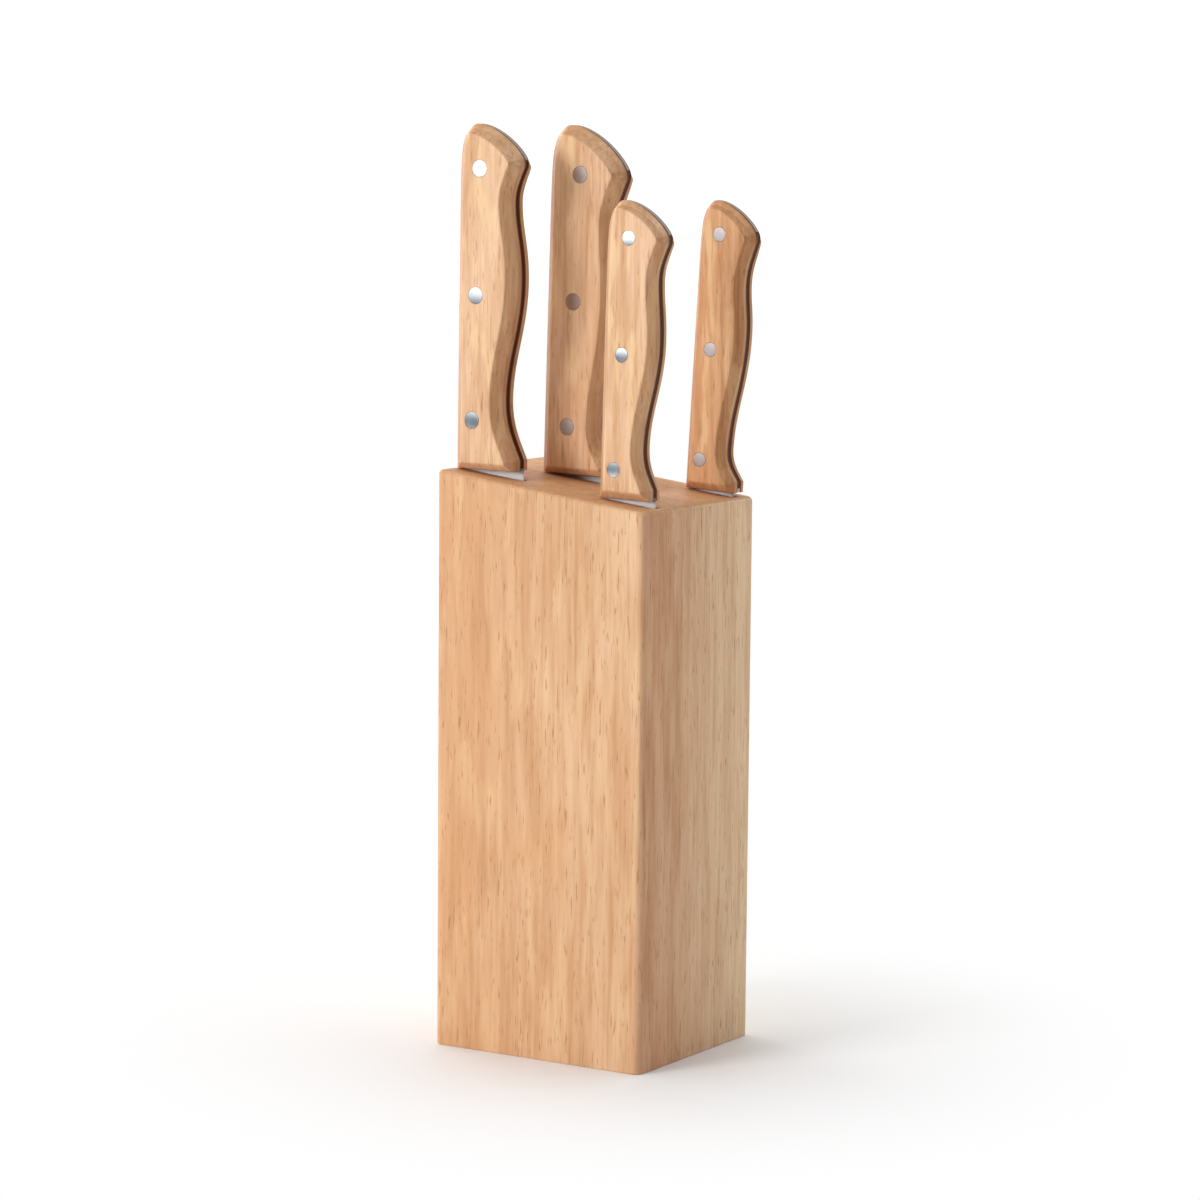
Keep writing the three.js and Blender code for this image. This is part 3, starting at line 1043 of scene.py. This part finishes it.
@dataclass
class Knife:
    """One riveted, full-tang kitchen knife, on the CAD body of its own name.

    Attributes:
        name: the CAD body's name.
        cant: the handle's turn against the blade, in degrees.
        spine_step: from the handle's spine to the blade's, in millimetres.
        blade: the blade's sizes.
        handle: the handle's sizes.
        wood: the finish of its scales.
        rivet: the finish of its rivets.
        origin: the foot of the handle's spine, on the tang's middle, in metres.
        edge_round: of the edge between a scale's wall and its bevel, in millimetres.
        face_round: of the edge between the bevel and the outer face.
        tang_inset: how far the tang's edge lies below the scales'.
        crown: how far the butt of the scales is rounded down.
        dome: how far the rivets' heads stand out.
        hole_gap: between a rivet and its hole.
        crown_from: how far below the nose the rounding of the butt starts.
        crown_full: how far above its start it has its full depth.
        belly_shade_end: how far above the nose the painted shadow on the tang's edge ends.
    """

    name: str
    cant: float
    spine_step: float
    blade: BladeShape
    handle: HandleShape
    wood: WoodFinish
    rivet: RivetFinish = RIVET_METAL
    origin: Vector = field(default_factory=Vector)
    edge_round: float = 0.55
    face_round: float = 1.0
    tang_inset: float = 0.1
    crown: float = 1.6
    dome: float = 0.05
    hole_gap: float = 0.12
    crown_from: float = 7.0
    crown_full: float = 8.0
    belly_shade_end: float = 1.0

    def build(self, rivet_tree: RivetTree) -> None:
        """Builds and dresses all pieces of the knife.

        Args:
            rivet_tree: the tree that makes rivets.
        """
        low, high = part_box(f"{self.name}_blade")
        self.origin = Vector((low.x, (low.y + high.y) / 2, low.z + self.blade.length * MM))
        wood = replace(self.wood, seam=self.origin.y).material()
        for side in Side:
            node = f"{self.name}_{side.name.lower()}_scale"
            self._finish(self._scale(side), wood, node)
        steel = self._steel()
        self._finish(steel, shared(BLADE_STEEL), f"{self.name}_blade")
        self._dress_tang(steel)
        self._rivets(rivet_tree)

    def _finish(
        self, piece: bpy.types.Object, material: bpy.types.Material, node: str
    ) -> None:
        """Dresses a piece and puts it on the knife's body in place of a CAD node.

        Args:
            piece: the finished mesh object.
            material: its material.
            node: the CAD node that it stands for.
        """
        piece.data.materials.clear()
        piece.data.materials.append(material)
        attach(piece, self.name)
        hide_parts(node)
        LOG.info("%s: %d faces", piece.name, len(piece.data.polygons))

    def _to_block(self) -> Matrix:
        """From the handle's millimetres, x from the spine and z from the foot, to the row frame."""
        turn = Matrix.Rotation(math.radians(self.cant), 4, "Y")
        return Matrix.Translation(self.origin) @ turn @ Matrix.Scale(MM, 4)

    def _scale_section(self) -> list[Point2]:
        """The scale's edge seen end on: (inset, height above the tang), with its edges eased."""
        side = (self.handle.thickness - self.blade.thickness) / 2
        bevel = self.handle.side_bevel
        wall = side - bevel
        run = self.edge_round * math.tan(math.radians(22.5))
        lead = self.face_round * math.tan(math.radians(22.5))
        diagonal = math.sqrt(0.5)
        points: list[Point2] = [(0.2, 0.0), (0.0, 0.2), (0.0, wall * 0.4), (0.0, wall - run - 0.15)]
        points += eased((0.0, wall), (0.0, -1.0), (diagonal, diagonal), run)
        points += [(bevel * 0.2, wall + bevel * 0.2), (bevel * 0.6, wall + bevel * 0.6)]
        points += eased((bevel, side), (-diagonal, -diagonal), (1.0, 0.0), lead)
        points.append((bevel + lead + 0.25, side))
        return points

    def _crown(self, outline: Sequence[Point2], height: float) -> np.ndarray:
        """How far the butt is rounded down on both sides of the tang.

        Args:
            outline: the handle's outline.
            height: the height above the tang.

        Returns:
            The distance for each point of the outline, which is nothing off the butt.
        """
        bevel = self.handle.side_bevel
        wall = (self.handle.thickness - self.blade.thickness) / 2 - bevel
        points = np.array(outline)
        facing = outward(points)
        turned = facing[:, 1] + 0.7 * np.maximum(facing[:, 0], 0.0)
        above = points[:, 1] - self.handle.nose_at + self.crown_from
        near_top = np.clip(above / self.crown_full, 0.0, 1.0)
        upward = np.clip((turned - 0.1) / 0.6, 0.0, 1.0) * near_top
        share = (height / wall) ** 1.15 if height < wall else 1 - (height - wall) / bevel
        return self.crown * upward * share

    def _scale(self, side: Side) -> bpy.types.Object:
        """One wooden scale, drilled for the rivets and cut flat at the foot.

        Args:
            side: which of the two.

        Returns:
            The finished mesh object.
        """
        handle = self.handle
        drop = handle.side_bevel - handle.foot_bevel
        outline = handle.outline(drop)
        rings = []
        for distance, height in self._scale_section():
            depth = side.value * (self.blade.thickness / 2 + height)
            ring = inset(outline, distance + self._crown(outline, height))
            rings.append([Vector((x, depth, z)) for x, z in ring])
        mesh = skin(rings)
        solid = bmesh.new()
        solid.from_mesh(mesh)
        everything = [*solid.verts, *solid.edges, *solid.faces]
        cut = bmesh.ops.bisect_plane(
            solid, geom=everything, plane_co=(0, 0, 0), plane_no=(0, 0, -1), clear_outer=True
        )
        edges = [e for e in cut["geom_cut"] if isinstance(e, bmesh.types.BMEdge)]
        bmesh.ops.holes_fill(solid, edges=edges, sides=0)
        bmesh.ops.recalc_face_normals(solid, faces=solid.faces)
        solid.transform(self._to_block())
        solid.to_mesh(mesh)
        solid.free()
        piece = new_object(f"{self.name}_{side.name.lower()}_grip", mesh)
        cut_or_join(piece, self._drills(), "DIFFERENCE")
        shade(piece, 25.0)
        return piece

    def _drills(self) -> bpy.types.Object:
        """A cutting tool with a cylinder for each rivet hole."""
        solid = bmesh.new()
        radius = self.handle.rivet_radius + self.hole_gap
        pin = {"segments": 48, "radius1": radius, "radius2": radius, "cap_ends": True}
        for x, z in self.handle.rivets:
            place = Matrix.Translation((x, 0, z)) @ Matrix.Rotation(math.pi / 2, 4, "X")
            bmesh.ops.create_cone(solid, **pin, depth=2 * self.handle.thickness, matrix=place)
        solid.transform(self._to_block())
        mesh = bpy.data.meshes.new("drills")
        solid.to_mesh(mesh)
        solid.free()
        return new_object("drills", mesh)

    def _steel(self) -> bpy.types.Object:
        """Blade and tang in one piece of steel."""
        half = self.blade.thickness / 2
        outline = self.handle.outline(0.0)
        section = [(0.25, -half), (0.0, -half + 0.12), (0.0, half - 0.12), (0.25, half)]
        rings = [
            [Vector((x, y, z)) for x, z in inset(outline, self.tang_inset + distance)]
            for distance, y in section
        ]
        mesh = skin(rings)
        mesh.transform(self._to_block())
        piece = new_object(f"{self.name}_steel", mesh)
        cut_or_join(piece, self._blade(), "UNION")
        shade(piece, 20.0)
        return piece

    def _dress_tang(self, piece: bpy.types.Object) -> None:
        """Gives the tang's edge its own finishes: painted shadow along the belly, dull at the butt.

        Args:
            piece: the blade and tang.
        """
        for finish in (TANG_BELLY_SHADE, TANG_BUTT):
            piece.data.materials.append(shared(finish))
        for face in piece.data.polygons:
            height = (face.center.z - self.origin.z) / MM
            if height < 0.5 or abs(face.normal.y) > 0.9:
                continue
            belly = height < self.handle.nose_at + self.belly_shade_end and face.normal.x > 0.15
            face.material_index = 1 if belly else 2

    def _blade(self) -> bpy.types.Object:
        """The blade below the handle, ground from its shoulder to the edge."""
        stations, root, tip = 56, 0.6, 0.1
        rings = []
        for i in range(stations + 1):
            from_tip = max(self.blade.curve * (i / stations) ** 2, tip)
            rings.append(self._blade_ring(from_tip, from_tip - self.blade.length))
        rings.append(self._blade_ring(self.blade.length, root))
        mesh = skin(rings)
        mesh.transform(Matrix.Translation(self.origin) @ Matrix.Scale(MM, 4))
        return new_object("blade", mesh)

    def _blade_ring(self, from_tip: float, z: float) -> list[Vector]:
        """One section of the blade.

        Args:
            from_tip: the section's distance above the tip.
            z: its height from the handle's foot.

        Returns:
            The section's points, anticlockwise from above.
        """
        blade = self.blade
        share = min(from_tip / blade.curve, 1.0)
        tip = blade.width * blade.drop
        spine = tip * (1 - share) ** 2
        edge = tip + (blade.width - tip) * math.sqrt(1 - (1 - share) ** 2)
        half = blade.thickness / 2 * (0.45 + 0.55 * share)
        ease = min(0.2, 0.1 * (edge - spine))
        shoulder = mixed(spine, edge, 0.55)
        bite = max(edge - 0.8, mixed(shoulder, edge, 0.8))
        one_side = [
            (spine, -half + ease),
            (spine + ease, -half),
            (shoulder, -half),
            (mixed(shoulder, bite, 0.04), -half * 0.985),
            (bite, -0.2 * half),
            (edge, -EDGE_HALF),
        ]
        return [Vector((self.spine_step + x, y, z)) for x, y in one_side] + [
            Vector((self.spine_step + x, -y, z)) for x, y in reversed(one_side)
        ]

    def _rivets(self, tree: RivetTree) -> None:
        """The rivets of the handle, as one piece on the knife's body.

        Args:
            tree: the tree that makes rivets.
        """
        to_block = self._to_block()
        places = [to_block @ Vector((x, 0, z)) for x, z in self.handle.rivets]
        sizes = {
            "Radius": self.handle.rivet_radius * MM,
            "Length": self.handle.thickness * MM,
            "Dome": self.dome * MM,
            "Turn": tuple(Euler((math.pi / 2, 0.0, 0.0))),
            "Metal": shared(self.rivet),
        }
        piece = tree.set_rivets(f"{self.name}_rivets", places, sizes)
        shade(piece, 35.0)
        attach(piece, self.name)
        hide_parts(*(f"{self.name}_rivet_{i + 1}" for i in range(len(places))))
        LOG.info("%s: %d rivets", piece.name, len(places))


def eased(corner: Point2, back: Point2, on: Point2, reach: float) -> list[Point2]:
    """Points round an eased corner of a section.

    Args:
        corner: the corner.
        back: the direction back along the line that comes in.
        on: the direction of the line that goes out.
        reach: how far from the corner the easing starts.

    Returns:
        Points along a short curve.
    """
    first = (corner[0] + back[0] * reach, corner[1] + back[1] * reach)
    last = (corner[0] + on[0] * reach, corner[1] + on[1] * reach)
    pull = 0.55
    near = (mixed(first[0], corner[0], pull), mixed(first[1], corner[1], pull))
    far = (mixed(last[0], corner[0], pull), mixed(last[1], corner[1], pull))
    return [first, *bezier(first, near, far, last, 4)]


# ------------------------------------------------------------------------------ block
@dataclass
class Block:
    """The glued-up wooden block, finished as one piece of wood with its slots open.

    Attributes:
        upright_radius: of the four upright outer edges, in millimetres.
        top_round: of the edge round the slanting top.
        foot_round: of the edge round the base.
        slot_ease: of the edges of the slots.
        arc_steps: how many steps each upright edge's round has.
    """

    upright_radius: float = 3.0
    top_round: float = 1.6
    foot_round: float = 0.5
    slot_ease: float = 0.3
    arc_steps: int = 10

    def build(self, knives: Sequence[Knife]) -> None:
        """Builds the block, cuts the slots and dresses it.

        Args:
            knives: the knives that it has slots for.
        """
        nodes = frame["record"]["behaviour"]["bodies"]["block"]
        low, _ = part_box("front_board")
        _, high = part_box("back_board")
        piece = new_object("block_body", self._outside(low, high, self._slope()))
        for knife in knives:
            cut_or_join(piece, self._slot_tool(knife.name), "DIFFERENCE")
        bevel = piece.modifiers.new("ease", "BEVEL")
        bevel.width = self.slot_ease * MM
        bevel.segments = 2
        bevel.limit_method = "ANGLE"
        bevel.angle_limit = math.radians(50)
        apply_modifiers(piece)
        shade(piece, 30.0)
        piece.data.materials.clear()
        piece.data.materials.append(BLOCK_WOOD.material())
        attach(piece, "block")
        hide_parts(*nodes)
        LOG.info("%s: %d faces", piece.name, len(piece.data.polygons))

    def _slope(self) -> float:
        """The fall of the top to a metre across, from the CAD's front board and its last strip."""
        low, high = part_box("front_board")
        strip_low, strip_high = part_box("front_strip_2")
        return (high.z - strip_high.z) / (strip_low.x - low.x)

    def _outside(self, low: Vector, high: Vector, slope: float) -> bpy.types.Mesh:
        """The block's outer shape.

        Args:
            low: its lowest corner.
            high: its highest corner.
            slope: the fall of its top.

        Returns:
            A closed mesh.
        """
        steps = 8
        rings = []
        for k in range(steps + 1):
            angle = math.pi / 2 * k / steps
            distance = self.foot_round * MM * (1 - math.sin(angle))
            z = low.z + self.foot_round * MM * (1 - math.cos(angle))
            rings.append([Vector((x, y, z)) for x, y in self._plan(low, high, distance)])
        for k in range(steps + 1):
            angle = math.pi / 2 * k / steps
            distance = self.top_round * MM * (1 - math.cos(angle))
            below = self.top_round * MM * (1 - math.sin(angle))
            plan = self._plan(low, high, distance)
            rings.append([Vector((x, y, high.z - slope * (x - low.x) - below)) for x, y in plan])
        return skin(rings)

    def _plan(self, low: Vector, high: Vector, distance: float) -> list[Point2]:
        """The block's outline from above.

        Args:
            low: its lowest corner.
            high: its highest corner.
            distance: how far the outline is moved inwards.

        Returns:
            Points, anticlockwise.
        """
        radius = self.upright_radius * MM - distance
        x0, y0, x1, y1 = low.x + distance, low.y + distance, high.x - distance, high.y - distance
        centres = [(x1 - radius, y0 + radius), (x1 - radius, y1 - radius)]
        centres += [(x0 + radius, y1 - radius), (x0 + radius, y0 + radius)]
        points = []
        for corner, (x, y) in enumerate(centres):
            for i in range(self.arc_steps + 1):
                angle = math.pi / 2 * (corner - 1 + i / self.arc_steps)
                points.append((x + radius * math.cos(angle), y + radius * math.sin(angle)))
        return points

    @staticmethod
    def _slot_tool(knife: str) -> bpy.types.Object:
        """The space of a knife's slot, from its floor up past the top.

        Args:
            knife: the knife's name.

        Returns:
            A box as a cutting tool.
        """
        low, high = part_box(f"{knife}_slot_floor")
        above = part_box("front_board")[1].z + 5 * MM
        return box_object(Vector((low.x, low.y, high.z)), Vector((high.x, high.y, above)))


# ------------------------------------------------------------------------------ studio
@dataclass
class Studio:
    """Camera, lights and floor.

    Attributes:
        place: where the camera stands.
        yaw: its turn to the left, in radians.
        pitch: its tilt upwards.
        roll: its turn round the line of sight.
        lens: its focal length in millimetres.
    """

    place: Vector = field(default_factory=lambda: Vector((0.75597, -1.20475, 0.33530)))
    yaw: float = 0.55933
    pitch: float = -0.120584
    roll: float = 0.0085762
    lens: float = 118.22

    def build(self) -> None:
        """Makes them all."""
        self._camera()
        self._floor()
        self._world()
        self._reflector()
        self._softbox("key", Vector((-1.0, -2.3, 0.95)), 0.95, 41.0)
        self._softbox("side", Vector((-2.05, 0.85, 0.7)), 1.1, 9.0)

    def _camera(self) -> None:
        """A long lens, looking slightly down past the block's front right edge."""
        forward = Vector(
            (
                -math.sin(self.yaw) * math.cos(self.pitch),
                math.cos(self.yaw) * math.cos(self.pitch),
                math.sin(self.pitch),
            )
        )
        level = Vector((math.cos(self.yaw), math.sin(self.yaw), 0.0))
        up = level.cross(forward)
        right = level * math.cos(self.roll) + up * math.sin(self.roll)
        up = up * math.cos(self.roll) - level * math.sin(self.roll)
        camera = bpy.data.objects.new("camera", bpy.data.cameras.new("camera"))
        turn = Matrix((right, up, -forward)).transposed()
        camera.matrix_world = Matrix.Translation(self.place) @ turn.to_4x4()
        camera.data.lens = self.lens
        camera.data.sensor_width = 36.0
        camera.data.clip_start = 0.05
        camera.data.clip_end = 50.0
        bpy.context.scene.collection.objects.link(camera)
        bpy.context.scene.camera = camera

    @staticmethod
    def _floor() -> None:
        """A plain pale floor."""
        sheet = bmesh.new()
        bmesh.ops.create_circle(sheet, cap_ends=True, segments=96, radius=6.0)
        mesh = bpy.data.meshes.new("floor")
        sheet.to_mesh(mesh)
        sheet.free()
        floor = new_object("floor", mesh)
        pale = bpy.data.materials.new("floor")
        kit = NodeKit.of(pale)
        own = kit.add("ShaderNodeTexCoord", {}, {}, "Object")
        away = kit.add("ShaderNodeVectorMath", {"operation": "LENGTH"}, {0: own}, "Value")
        matt = {"Base Color": (0.92, 0.92, 0.92, 1.0), "Roughness": 0.7}
        paper = kit.add("ShaderNodeBsdfPrincipled", {}, matt)
        glow = kit.add("ShaderNodeEmission", {}, {"Color": (1, 1, 1, 1), "Strength": 1.0})
        lit = kit.add("ShaderNodeMixShader", {}, {0: away.between(0.05, 0.22), 1: paper, 2: glow})
        kit.add("ShaderNodeOutputMaterial", {}, {"Surface": lit})
        mesh.materials.append(pale)

    @staticmethod
    def _reflector() -> None:
        """A low card off to the left that the rivets and blades reflect: dark below, white above."""
        card = bmesh.new()
        turn = Matrix.Rotation(math.atan2(-0.56, 0.83), 4, "Z") @ Matrix.Rotation(math.pi / 2, 4, "X")
        wide = Matrix.Diagonal((2.0, 1.0, 1.0, 1.0))
        place = Matrix.Translation((-0.9, -1.33, 0.35)) @ turn @ wide
        bmesh.ops.create_grid(card, x_segments=1, y_segments=1, size=0.35, matrix=place)
        mesh = bpy.data.meshes.new("reflector")
        card.to_mesh(mesh)
        card.free()
        reflector = new_object("reflector", mesh)
        graded = bpy.data.materials.new("reflector")
        kit = NodeKit.of(graded)
        stops = [
            (0.06, (0.05, 0.07, 0.09)),
            (0.14, (0.0, 0.02, 0.035)),
            (0.19, (0.4, 0.5, 0.57)),
            (0.23, (1.0, 1.0, 1.0)),
        ]
        colour = kit.add("ShaderNodeValToRGB", {"stops": stops}, {"Fac": kit.axis("Z")})
        glow = kit.add("ShaderNodeEmission", {}, {"Color": colour, "Strength": 1.3})
        kit.add("ShaderNodeOutputMaterial", {}, {"Surface": glow})
        mesh.materials.append(graded)
        reflector.visible_camera = False
        reflector.visible_diffuse = False
        reflector.visible_shadow = False

    @staticmethod
    def _world() -> None:
        """Soft white light from all round, dimmer and bluer on the side where the room is dark."""
        white, dim = (1.0, 1.0, 1.0), (0.05, 0.06, 0.08)
        world = bpy.data.worlds.new("studio")
        kit = NodeKit.of(world)
        aim = {
            0: kit.add("ShaderNodeTexCoord", {}, {}, "Generated"),
            1: Vector((0.58, -0.81, 0.0)).normalized(),
        }
        towards = kit.add("ShaderNodeVectorMath", {"operation": "DOT_PRODUCT"}, aim, "Value")
        lit = kit.mix(towards.between(0.0, 0.7), white, dim)
        seen = kit.add("ShaderNodeLightPath", {}, {}, "Is Camera Ray")
        sky = {"Color": kit.mix(seen, lit, white), "Strength": 1.1}
        kit.add("ShaderNodeOutputWorld", {}, {0: kit.add("ShaderNodeBackground", {}, sky)})
        bpy.context.scene.world = world
        bpy.context.scene.view_settings.view_transform = "Standard"

    @staticmethod
    def _softbox(name: str, place: Vector, size: float, power: float) -> None:
        """A square soft light that looks at the block.

        Args:
            name: its name.
            place: where it stands.
            size: its side in metres.
            power: in watts.
        """
        lamp = bpy.data.lights.new(name, "AREA")
        lamp.shape = "SQUARE"
        lamp.size = size
        lamp.energy = power
        light = bpy.data.objects.new(name, lamp)
        light.location = place
        light.rotation_euler = (Vector((0, 0, 0.18)) - place).to_track_quat("-Z", "Y").to_euler()
        bpy.context.scene.collection.objects.link(light)


# ------------------------------------------------------------------------------ the object
LARGE = {"thickness": 14.2, "side_bevel": 3.6, "foot_bevel": 2.3, "rivet_radius": 3.0}
SMALL = {"thickness": 11.8, "side_bevel": 2.8, "foot_bevel": 2.8, "rivet_radius": 2.55}


def handle_wood(name: str, offset: tuple[float, float, float], orange: float = 0.0) -> WoodFinish:
    """The wood of one knife's scales.

    Args:
        name: the knife's name.
        offset: where in the wood the scales were cut.
        orange: how much more orange than the palest this piece is, from 0 to 1.

    Returns:
        Its finish.
    """
    pale, deep = linear(233, 195, 159), linear(226, 172, 122)
    light = tuple(mixed(a, b, orange) for a, b in zip(pale, deep))
    pale, deep = linear(209, 161, 120), linear(194, 134, 84)
    dark = tuple(mixed(a, b, orange) for a, b in zip(pale, deep))
    return WoodFinish(
        name=f"{name}_wood",
        light=light,
        dark=dark,
        fleck=linear(158, 106, 66),
        warm=tuple(mixed(a, b, 0.5) for a, b in zip(light, dark)),
        end_grain=tuple(share * channel for share, channel in zip((1.12, 0.98, 0.86), dark)),
        # painted shade: the handle's bevels and walls along X are darker and browner
        side_shade=(0.74, 0.65, 0.58),
        mottling=0.6,
        band=4 * MM,
        streaks=0.6,
        flecks=0.42,
        offset=offset,
        roughness=0.46,
    )


def knives() -> list[Knife]:
    """The knives, with the sizes of each one's handle and blade."""
    return [
        Knife(
            name="carving_knife",
            cant=0.5,
            spine_step=1.6,
            blade=BladeShape(180, 24.8, 1.8, 70, 0.25),
            handle=HandleShape(
                **LARGE,
                length=123.6,
                heel=25.6,
                waist=19.2,
                swell=25.3,
                neck=22.2,
                nose=26.6,
                waist_at=25,
                swell_at=68,
                neck_at=96,
                nose_at=109.8,
                rivets=((8.4, 17.6), (9.4, 62.4), (10.5, 107.6)),
            ),
            wood=handle_wood("carving_knife", (0.3, 1.7, 0.4)),
        ),
        Knife(
            name="chef_knife",
            cant=1.4,
            spine_step=0.5,
            blade=BladeShape(172, 40, 1.8, 125, 0.2),
            handle=HandleShape(
                **LARGE,
                length=125.8,
                heel=29,
                waist=23.2,
                swell=27.8,
                neck=26.4,
                nose=31.4,
                waist_at=18,
                swell_at=62,
                neck_at=91,
                nose_at=108.4,
                rivets=((11.8, 17.2), (12.9, 62.5), (14.4, 108.2)),
            ),
            wood=handle_wood("chef_knife", (2.1, 0.6, 1.3), 0.1),
            rivet=SHADED_RIVET_METAL,
        ),
        Knife(
            name="utility_knife",
            cant=1.5,
            spine_step=0.5,
            blade=BladeShape(127, 20.8, 1.8, 60, 0.25),
            handle=HandleShape(
                **SMALL,
                length=105,
                heel=20.8,
                waist=16.2,
                swell=21.6,
                neck=20.3,
                nose=24.6,
                waist_at=18,
                swell_at=56,
                neck_at=77.5,
                nose_at=92,
                rivets=((6.9, 10.4), (8.8, 51), (10.2, 92)),
            ),
            wood=handle_wood("utility_knife", (1.2, 2.4, 2.2), 0.0),
        ),
        Knife(
            name="paring_knife",
            cant=3.2,
            spine_step=0.5,
            blade=BladeShape(90, 18, 1.8, 60, 0.3),
            handle=HandleShape(
                **SMALL,
                length=105,
                heel=20.5,
                waist=15.5,
                swell=20.4,
                neck=19,
                nose=22.8,
                waist_at=15,
                swell_at=57,
                neck_at=76,
                nose_at=92.5,
                rivets=((6.5, 11), (8.3, 51.3), (9.3, 93)),
            ),
            wood=handle_wood("paring_knife", (0.9, 0.2, 3.1), 0.65),
            rivet=SHADED_RIVET_METAL,
        ),
    ]


def main() -> None:
    """Builds the studio, the knives and the block."""
    logging.basicConfig(level=logging.INFO, format="%(name)s: %(message)s")
    Studio().build()
    rivet_tree = RivetTree()
    rivet_tree.build()
    all_knives = knives()
    for knife in all_knives:
        knife.build(rivet_tree)
    Block().build(all_knives)


if __name__ == "__main__":
    main()
